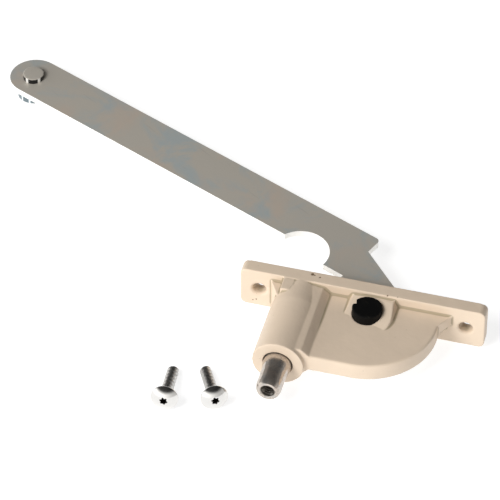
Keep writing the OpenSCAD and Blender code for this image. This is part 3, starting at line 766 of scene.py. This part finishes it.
def rough_paint(mesh, waviness):
    """Slow waves of thick paint, flat at the mounting face, and chips in the flange."""
    points = read_points(mesh)
    normals = read_normals(mesh)
    shift = Vector((7.0, 3.0, 1.0))
    wave = np.array([
        noise.noise(Vector(p) * SLOW_WAVES) + 0.45 * noise.noise(Vector(p) * QUICK_WAVES + shift)
        for p in points
    ])
    free = np.clip(-points[:, 1] / (1.5 * MM), 0.0, 1.0)
    chip = np.zeros(len(points))
    for x, z, y, r in FLANGE_CHIPS:
        away = np.linalg.norm(points - np.array((x, y, z)) * MM, axis=1) / (r * MM)
        ragged = away + 0.35 * wave
        chip = np.maximum(chip, np.clip(1.6 - ragged, 0.0, 1.0))
    depth = waviness * wave * free * 0.5 - CHIP_DEPTH * chip
    mesh.vertices.foreach_set("co", (points + normals * depth[:, None]).ravel())
    mesh.update()
    keep_value(mesh, "chip", chip)


class WINDER_OT_housing(bpy.types.Operator):
    """Casts the flange, worm boss, gear case and pivot seat in one piece and paints them"""

    bl_idname = "winder.housing"
    bl_label = "Housing"

    def execute(self, context):
        look = context.scene.winder.casting
        grid = look.grid
        mesh = cast_mesh("housing_casting", "housing", grid, look.rounding)
        edge_values(mesh, passes=12, full=0.06 * MM, unshaded_to=-40 * MM, shade_reach=18 * MM)
        rough_paint(mesh, look.waviness)
        for polygon in mesh.polygons:
            polygon.use_smooth = True
        settle("housing_casting", mesh, painted_casting(look), "housing", "painted_casting", "housing")
        return {"FINISHED"}


# ---- flat stamped pieces ----


class WINDER_OT_cover(bpy.types.Operator):
    """Closes the gear case from below with its steel cover and rivets"""

    bl_idname = "winder.cover"
    bl_label = "Cover"

    def execute(self, context):
        look = context.scene.winder.plate
        zinc = zinc_sheet(look, "cover_zinc", patch=60.0)
        softened("gear_case_cover", "gear_cover", look.small_edge, zinc, "housing", "zinc_plate")
        softened("cover_rivet_heads", "cover_rivets", look.small_edge, zinc, "housing", "zinc_plate")
        return {"FINISHED"}


class WINDER_OT_pivot(bpy.types.Operator):
    """Finishes the black pivot pin and the two spring clips"""

    bl_idname = "winder.pivot"
    bl_label = "Pivot"

    def execute(self, context):
        look = context.scene.winder.plate
        softened("pivot_pin_black", "pivot_pin", look.small_edge, black_oxide(), "housing", "black_steel")
        paint_nodes(clip_steel(), "pivot_clip", "shaft_clip")
        return {"FINISHED"}


class WINDER_OT_arm(bpy.types.Operator):
    """Stamps the arm and its riveted gear plate from plated sheet"""

    bl_idname = "winder.arm"
    bl_label = "Arm"

    def execute(self, context):
        look = context.scene.winder.plate
        tip, pivot = joint("roller_spin"), joint("arm_swing")
        turn = math.atan2(tip.y - pivot.y, tip.x - pivot.x)
        zinc = zinc_sheet(look, "arm_zinc", turn=-turn)
        softened("arm_sheet", "arm", look.edge, zinc, "arm", "zinc_plate")
        inner = zinc_sheet(look, "gear_zinc", turn=-turn, patch=90.0, rough=0.05)
        softened("gear_plate_sheet", "gear_plate", look.small_edge, inner, "arm", "zinc_plate", 2)
        paint_nodes(inner, "gear_rivets")
        return {"FINISHED"}


# ---- drive shaft ----

BODY_R = 4.5 * MM
JOURNAL_R = 2.9 * MM
SEAL_GROOVE_R = 4.84 * MM
CLIP_GROOVE_R = 2.35 * MM
CENTRE_MARK_R = 0.4 * MM
WASHER_ROOM = 0.9 * MM
MOUTH_W = 0.6 * MM
MOUTH_L = 0.3 * MM
PLAY = 0.02 * MM


def shaft_profile(look, shaft_r, hole_r):
    """Distances from the shaft's outer end and radii, from the hole's mouth round to the inner end."""
    low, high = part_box("drive_shaft")
    seal_low, seal_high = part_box("shaft_seal")
    clip_low, clip_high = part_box("shaft_clip")
    worm_low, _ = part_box("worm")
    bush_low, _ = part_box("front_bush")
    collar_r = (high.x - low.x) / 2
    collar_end = bush_low.y - low.y - WASHER_ROOM
    seal_start, seal_end = seal_low.y - low.y - PLAY, seal_high.y - low.y + PLAY
    worm_start = worm_low.y - low.y - PLAY / 2
    clip_start, clip_end = clip_low.y - low.y, clip_high.y - low.y
    total = high.y - low.y
    return [
        (0.0, hole_r + MOUTH_W),
        (0.0, shaft_r - look.taper_depth),
        (look.taper * 0.3, shaft_r - look.taper_depth * 0.45),
        (look.taper, shaft_r),
        (look.collar_step - look.collar_cone, shaft_r),
        (look.collar_step + 0.5 * look.collar_cone, collar_r),
        (seal_start, collar_r),
        (seal_start, SEAL_GROOVE_R),
        (seal_end, SEAL_GROOVE_R),
        (seal_end, collar_r),
        (collar_end, collar_r),
        (collar_end, BODY_R),
        (worm_start, BODY_R),
        (worm_start, JOURNAL_R),
        (clip_start, JOURNAL_R),
        (clip_start, CLIP_GROOVE_R),
        (clip_end, CLIP_GROOVE_R),
        (clip_end, JOURNAL_R),
        (total, JOURNAL_R),
        (total, CENTRE_MARK_R),
    ]


def threaded_hole(look, hole_r, hole_l):
    """Rings of a hole with one ridge that winds inward from the mouth, fading in over the first few."""
    rings = [ring(0.0, hole_r + MOUTH_W, ROUND), ring(MOUTH_L, hole_r, ROUND)]
    steps = 96
    for i in range(steps + 1):
        z = MOUTH_L + hole_l * i / steps
        depth = look.thread_depth * min(1.0, i / 6)

        def ridge(a, z=z, depth=depth):
            t = (z / look.thread_pitch - a / TURN) % 1.0
            return hole_r - depth * (1.0 - abs(2.0 * t - 1.0))

        rings.append(ring(z, hole_r, ROUND, ridge))
    return rings


class WINDER_OT_shaft(bpy.types.Operator):
    """Turns the drive shaft with its collar, its tapered end and its threaded hole"""

    bl_idname = "winder.shaft"
    bl_label = "Drive shaft"

    def execute(self, context):
        look = context.scene.winder.shaft
        low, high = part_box("drive_shaft")
        centre = (low + high) / 2
        placed = along(Vector((centre.x, low.y, centre.z)), (0.0, 1.0, 0.0))
        mounts = {m["name"]: m["dims"] for m in frame["record"]["mounts"]}
        hole_r = mounts["handle_screw_hole"]["r_mm"] * MM
        hole_l = mounts["handle_screw_hole"]["length_mm"] * MM
        bm = bmesh.new()
        outside = eased(shaft_profile(look, mounts["handle_shaft"]["r_mm"] * MM, hole_r), 0.12 * MM)
        join_rings(bm, [ring(z, r, ROUND) for z, r in outside], placed, (False, True))
        join_rings(bm, threaded_hole(look, hole_r, hole_l), placed, (False, True))
        bmesh.ops.remove_doubles(bm, verts=bm.verts, dist=WELD / 2)
        mesh = finish_bmesh(bm, "drive_shaft_turned")
        points = read_points(mesh)
        from_axis = np.hypot(points[:, 0] - centre.x, points[:, 2] - centre.z)
        # painted shade in the threaded hole: black from just inside the mouth, lighter on the thread's ridge
        deep = np.clip((points[:, 1] - low.y) / (2 * MOUTH_L), 0.0, 1.0)
        groove = 1.0 - 0.75 * np.clip((hole_r - from_axis) / look.thread_depth, 0.0, 1.0)
        in_hole = (from_axis < hole_r + 0.05 * MM) & (points[:, 1] < low.y + hole_l + 0.5 * MM)
        keep_value(mesh, "recess_shade", np.where(in_hole, deep * groove, 0.0))
        steel = plated_shaft(look)
        settle("drive_shaft_turned", mesh, steel, "shaft", "plated_shaft", "drive_shaft")
        paint_nodes(seal_rubber(), "shaft_seal")
        return {"FINISHED"}


class WINDER_OT_bearings(bpy.types.Operator):
    """Finishes the worm, its pin and the bronze bushes and washers"""

    bl_idname = "winder.bearings"
    bl_label = "Worm and bearings"

    def execute(self, context):
        paint_nodes(greased_steel(), "worm", "worm_pin")
        bronze = bearing_bronze()
        paint_nodes(bronze, "pivot_bush", "upper_washer", "lower_washer")
        paint_nodes(bronze, "front_bush", "front_washer", "rear_bush", "rear_washer")
        return {"FINISHED"}


# ---- tip ----


def stud_profile(low, high, shank_r):
    """Distances and radii of the stud, from its riveted foot to its round head on the arm."""
    _, arm_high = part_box("arm")
    head_r = (high.x - low.x) / 2
    foot_r, foot_t = 4.6 * MM, 0.7 * MM
    head = arm_high.z - low.z
    total = high.z - low.z
    profile = [
        (0.0, 0.2 * MM), (0.0, foot_r), (foot_t, foot_r), (foot_t, shank_r), (head, shank_r),
        (head, head_r), (total - 0.35 * MM, head_r), (total - 0.1 * MM, head_r - 0.5 * MM),
        (total - 0.06 * MM, head_r - 1.4 * MM), (total, 0.2 * MM),
    ]
    return eased(profile, 0.14 * MM)


def roller_profile(low, high, bore):
    """Distances and radii once round the roller's section, with a groove in its lower face."""
    outer = (high.x - low.x) / 2
    deep = high.z - low.z
    bevel = 0.6 * MM
    loop = [
        (0.0, bore), (0.0, outer - 2.6 * MM), (0.5 * MM, outer - 2.2 * MM), (0.5 * MM, outer - 1.6 * MM),
        (0.0, outer - 1.3 * MM), (0.0, outer - bevel), (bevel, outer), (deep - bevel, outer),
        (deep, outer - bevel), (deep, bore), (0.0, bore),
    ]
    return eased(loop, 0.25 * MM)


class WINDER_OT_tip(bpy.types.Operator):
    """Turns the stud and the roller at the arm's tip"""

    bl_idname = "winder.tip"
    bl_label = "Tip stud and roller"

    def execute(self, context):
        look = context.scene.winder.plate
        shank_r = 3.1 * MM
        low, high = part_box("tip_stud")
        centre = (low + high) / 2
        mesh = turned_mesh("tip_stud_turned", stud_profile(low, high, shank_r), Vector((*centre.xy, low.z)))
        # painted reflection: dark and bright bands round the stud's side
        keep_glint_bands(mesh, centre, count=5, start=math.radians(-39.0))
        bright = glint_banded_button("stud_zinc", look.zinc, (0.012, 0.012, 0.012), look.cut, look.metal)
        settle("tip_stud_turned", mesh, bright, "arm", "zinc_plate", "tip_stud")
        low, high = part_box("tip_roller")
        centre = (low + high) / 2
        bm = bmesh.new()
        rings = [ring(z, r, ROUND) for z, r in roller_profile(low, high, shank_r + 0.05 * MM)]
        join_rings(bm, rings, along(Vector((*centre.xy, low.z)), UP), (False, False))
        bmesh.ops.remove_doubles(bm, verts=bm.verts, dist=WELD / 2)
        mesh = finish_bmesh(bm, "tip_roller_turned")
        # painted reflection: dark and bright bands round the roller's side
        keep_glint_bands(mesh, centre, count=13, start=math.radians(-61.0))
        blue = glint_banded_button("roller_finish", look.cool, (0.16, 0.2, 0.22), (0.84, 0.92, 0.96), 0.6)
        settle("tip_roller_turned", mesh, blue, "roller", "roller_finish", "tip_roller")
        # the washer shares the stud's material, so its side shows the painted dark reflection
        paint_nodes(bright, "tip_washer")
        return {"FINISHED"}


# ---- mounting screws ----

THREAD_SHADE = 0.18  # how much of the recess's dark and dull look the thread has
SIX_LOBES = (0.84, 0.16)  # mean and swing of the recess's radius
PER_TURN = 16  # rings for each turn of the thread
TIP_L = 2.2 * MM
TIP_SLICE = 0.4 * MM
TIP_PLAY = 0.1 * MM
DRIVE_TURN = 0.26


def screw_mesh(name, look, placed):
    """A coarse-threaded screw with a truss head and a six-lobe recess, with its head at the origin."""
    sides = 72
    dome_h = look.head_t - look.rim_t
    dome_r = (look.head_r**2 + dome_h**2) / (2 * dome_h)

    def dome(r):
        return -look.rim_t - (math.sqrt(dome_r**2 - r**2) - (dome_r - dome_h))

    def lobe(scale):
        return lambda a: look.lobe_r * scale * (SIX_LOBES[0] + SIX_LOBES[1] * math.cos(6 * a))

    rings = []
    for scale, depth in ((0.0, 1.12), (0.8, 1.0), (0.9, 0.97), (0.92, 0.12), (0.97, 0.02)):
        level = dome(look.lobe_r) + look.lobe_depth * depth
        rings.append([Vector((p.x, p.y, level)) for p in ring(0.0, 0.0, sides, lobe(scale))])
    recess_points = (len(rings) - 1) * sides
    steps = 14
    for i in range(steps + 1):
        t = i / steps

        def spread(a, t=t):
            inner = lobe(1.02)(a)
            return inner + (look.head_r - 0.05 * MM - inner) * t

        flat_ring = ring(0.0, 0.0, sides, spread)
        rings.append([Vector((p.x, p.y, dome(min(p.xy.length, look.head_r)))) for p in flat_ring])
    head_edge = (
        (-look.rim_t + 0.02 * MM, look.head_r),
        (-0.1 * MM, look.head_r),
        (0.0, look.head_r - 0.12 * MM),
        (-0.05 * MM, look.thread_r + 0.5 * MM),
        (0.25 * MM, look.thread_r + 0.05 * MM),
    )
    rings += [ring(z, r, sides) for z, r in head_edge]
    head_points = (len(rings) - 1) * sides
    start = 0.5 * MM
    rows = int(look.shank / look.thread_pitch * PER_TURN)
    for i in range(rows + 1):
        z = start + (look.shank - start) * i / rows
        point = min(1.0, max(0.0, (look.shank - z) / TIP_L))
        narrow = 0.6 + 0.4 * point**0.6
        rise = min(1.0, max(0.0, (z - 0.8 * MM) / (0.8 * MM))) * min(1.0, 0.35 + point)

        def thread(a, z=z, narrow=narrow, rise=rise):
            t = (z / look.thread_pitch - a / TURN) % 1.0
            crest = max(0.0, 1.0 - abs(t - 0.5) / 0.36)
            return (look.core_r + (look.thread_r - look.core_r) * crest * rise) * narrow

        rings.append(ring(z, 0.0, sides, thread))
    bm = bmesh.new()
    join_rings(bm, rings, placed)
    mesh = finish_bmesh(bm, name)
    # painted shade: black inside the recess, a share of it on the thread, none on the head
    recess_shade = np.full(len(mesh.vertices), THREAD_SHADE)
    recess_shade[:head_points] = 0.0
    recess_shade[:recess_points] = 1.0
    recess_shade[-2] = 1.0  # the middle of the recess, made next to last
    keep_value(mesh, "recess_shade", recess_shade)
    return mesh


def lying_screw(name, node, look, material):
    """Lays a finished screw where its CAD node lies, on the rim of its head and the tip of its thread."""
    low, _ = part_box(node)
    points = np.array([v.co for v in frame["nodes"][node].data.vertices])
    _, _, axes = np.linalg.svd(points - points.mean(axis=0), full_matrices=False)
    axis = Vector(axes[0])
    if axis.y < 0:
        axis.negate()
    reach = points @ np.array(axis)
    resting_r = 0.76 * look.thread_r
    tilt = math.atan((look.head_r - resting_r) / look.shank)
    flat = Vector((axis.x, axis.y, 0.0)).normalized()
    axis = flat * math.cos(tilt) - UP * math.sin(tilt)
    tip_point = points[reach > reach.max() - TIP_SLICE].mean(axis=0)
    origin = Vector(tip_point) - axis * (look.shank - TIP_PLAY)
    origin.z = low.z + look.head_r * math.cos(tilt)
    mesh = screw_mesh(name, look, along(origin, axis) @ Matrix.Rotation(DRIVE_TURN, 4, "Z"))
    settle(name, mesh, material, "housing", "screw_finish", node)


class WINDER_OT_screws(bpy.types.Operator):
    """Rolls the two loose mounting screws"""

    bl_idname = "winder.screws"
    bl_label = "Mounting screws"

    def execute(self, context):
        look = context.scene.winder.screw
        bright = bright_screw(look)
        lying_screw("left_screw_finished", "mounting_screw_left", look, bright)
        lying_screw("right_screw_finished", "mounting_screw_right", look, bright)
        return {"FINISHED"}


# ---- floor, light and camera ----


LIT_SPOT = Vector((-0.07, 0.02, 0.0))  # the point that the soft light faces
KEY_FORWARD, KEY_LEFT, KEY_UP = 0.5, 0.56, 0.72  # its place as the camera sees it, in metres from there


def key_light(look, front, right):
    """The square soft light above the front left of the object, without a mirror image."""
    data = bpy.data.lights.new("key", "AREA")
    data.energy = look.key
    data.shape = "SQUARE"
    data.size = look.key_size
    lamp = bpy.data.objects.new("key", data)
    bpy.context.scene.collection.objects.link(lamp)
    away = front * KEY_FORWARD - right * KEY_LEFT + UP * KEY_UP
    lamp.location = LIT_SPOT + away
    lamp.rotation_euler = (-away).to_track_quat("-Z", "Y").to_euler()
    lamp.visible_glossy = False


def studio_world(look, front, right):
    """A room that is bright in front and at the left, dark above and behind, and white to the camera."""
    world = bpy.data.worlds.new("studio")
    bpy.context.scene.world = world
    world.use_nodes = True
    tree = world.node_tree
    tree.nodes.clear()
    towards = add(tree, "ShaderNodeTexCoord").outputs["Generated"]
    high, near, side = (
        vector_maths(tree, "DOT_PRODUCT", {0: towards, 1: way})["Value"] for way in (UP, front, right)
    )
    walls = span(tree, high, 0.64, 0.26, 0.03, 1.0)
    nearness = span(tree, near, -0.75, 0.25, 0.2, 1.0)
    sides = span(tree, side, -0.9, 0.9, look.room * 1.3, look.room * 0.45)
    room = times(tree, times(tree, walls, nearness), sides)
    seen = add(tree, "ShaderNodeLightPath").outputs["Is Camera Ray"]
    room_light = add(tree, "ShaderNodeBackground", None, {"Color": (1.0, 0.985, 0.965), "Strength": room})
    backdrop = add(tree, "ShaderNodeBackground", None, {"Color": (1.0, 1.0, 1.0), "Strength": 1.0})
    inputs = {0: seen, 1: room_light.outputs[0], 2: backdrop.outputs[0]}
    mixed = add(tree, "ShaderNodeMixShader", None, inputs)
    add(tree, "ShaderNodeOutputWorld", None, {"Surface": mixed.outputs[0]})


FLOOR_SIDE = 8.0
FLOOR_GAP = 0.02 * MM


def pale_floor(look, level):
    """A wide pale floor that glows a little, with a faint paper grain."""
    material, tree, shader = start_material("pale_floor")
    tone = span(tree, grain(tree, place(tree), 30.0, 3.0, 0.5), 0.3, 0.7)
    darker = tuple(c * 0.985 for c in look.floor)
    feed(tree, shader, {
        "Base Color": blend_colours(tree, tone, look.floor, darker),
        "Roughness": 0.9,
        "Specular IOR Level": 0.1,
        "Emission Color": (1.0, 1.0, 1.0),
        "Emission Strength": look.floor_glow,
    })
    bm = bmesh.new()
    bmesh.ops.create_grid(bm, x_segments=8, y_segments=8, size=FLOOR_SIDE / 2)
    mesh = bpy.data.meshes.new("floor")
    bm.to_mesh(mesh)
    bm.free()
    mesh.materials.append(material)
    floor = bpy.data.objects.new("floor", mesh)
    floor.location.z = level
    bpy.context.scene.collection.objects.link(floor)


def studio_camera(look):
    """The camera, turned round the object's origin and moved aside in its own plane."""
    a, e, roll = look.azimuth, look.elevation, look.roll
    back = Vector((math.sin(a) * math.cos(e), -math.cos(a) * math.cos(e), math.sin(e)))
    right = Vector((math.cos(a), math.sin(a), 0.0))
    up = back.cross(right)
    right, up = right * math.cos(roll) + up * math.sin(roll), up * math.cos(roll) - right * math.sin(roll)
    data = bpy.data.cameras.new("camera")
    data.lens = look.lens
    data.clip_end = 20.0
    camera = bpy.data.objects.new("camera", data)
    bpy.context.scene.collection.objects.link(camera)
    turn = Matrix((right, up, back)).transposed().to_4x4()
    spot = back * look.distance + right * look.aside + up * look.rise
    camera.matrix_world = Matrix.Translation(spot) @ turn
    bpy.context.scene.camera = camera
    return back, right


class WINDER_OT_stage(bpy.types.Operator):
    """Lays the pale floor and sets the room's light, the soft light and the camera"""

    bl_idname = "winder.stage"
    bl_label = "Stage"

    def execute(self, context):
        look = context.scene.winder.studio
        context.scene.view_settings.view_transform = "Standard"
        back, right = studio_camera(look)
        pale_floor(look, CAD_BOX[0].z - FLOOR_GAP)
        front = Vector((back.x, back.y, 0.0)).normalized()
        studio_world(look, front, right)
        key_light(look, front, right)
        return {"FINISHED"}


class WINDER_PT_builder(bpy.types.Panel):
    """Buttons and sizes of the window winder"""

    bl_label = "Window winder"
    bl_idname = "WINDER_PT_builder"
    bl_space_type = "VIEW_3D"
    bl_region_type = "UI"
    bl_category = "Winder"

    def draw(self, context):
        layout = self.layout
        for operator in OPERATORS:
            layout.operator(operator.bl_idname)
        settings = context.scene.winder
        for group in (settings.casting, settings.plate, settings.shaft, settings.screw, settings.studio):
            box = layout.box()
            for name in group.__annotations__:
                box.prop(group, name)


OPERATORS = (
    WINDER_OT_housing,
    WINDER_OT_cover,
    WINDER_OT_pivot,
    WINDER_OT_arm,
    WINDER_OT_shaft,
    WINDER_OT_bearings,
    WINDER_OT_tip,
    WINDER_OT_screws,
    WINDER_OT_stage,
)
SETTINGS = (CastingSettings, PlateSettings, ShaftSettings, ScrewSettings, StudioSettings, WinderSettings)


def register():
    """Registers the settings, the operators and the panel."""
    for cls in (*SETTINGS, *OPERATORS, WINDER_PT_builder):
        bpy.utils.register_class(cls)
    bpy.types.Scene.winder = PointerProperty(type=WinderSettings)


def unregister():
    """Removes what register added."""
    del bpy.types.Scene.winder
    for cls in reversed((*SETTINGS, *OPERATORS, WINDER_PT_builder)):
        bpy.utils.unregister_class(cls)


def main():
    """Builds every piece and the stage."""
    register()
    shader_groups()
    bpy.ops.winder.housing()
    bpy.ops.winder.cover()
    bpy.ops.winder.pivot()
    bpy.ops.winder.arm()
    bpy.ops.winder.shaft()
    bpy.ops.winder.bearings()
    bpy.ops.winder.tip()
    bpy.ops.winder.screws()
    bpy.ops.winder.stage()
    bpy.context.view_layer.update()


if __name__ == "__main__":
    main()
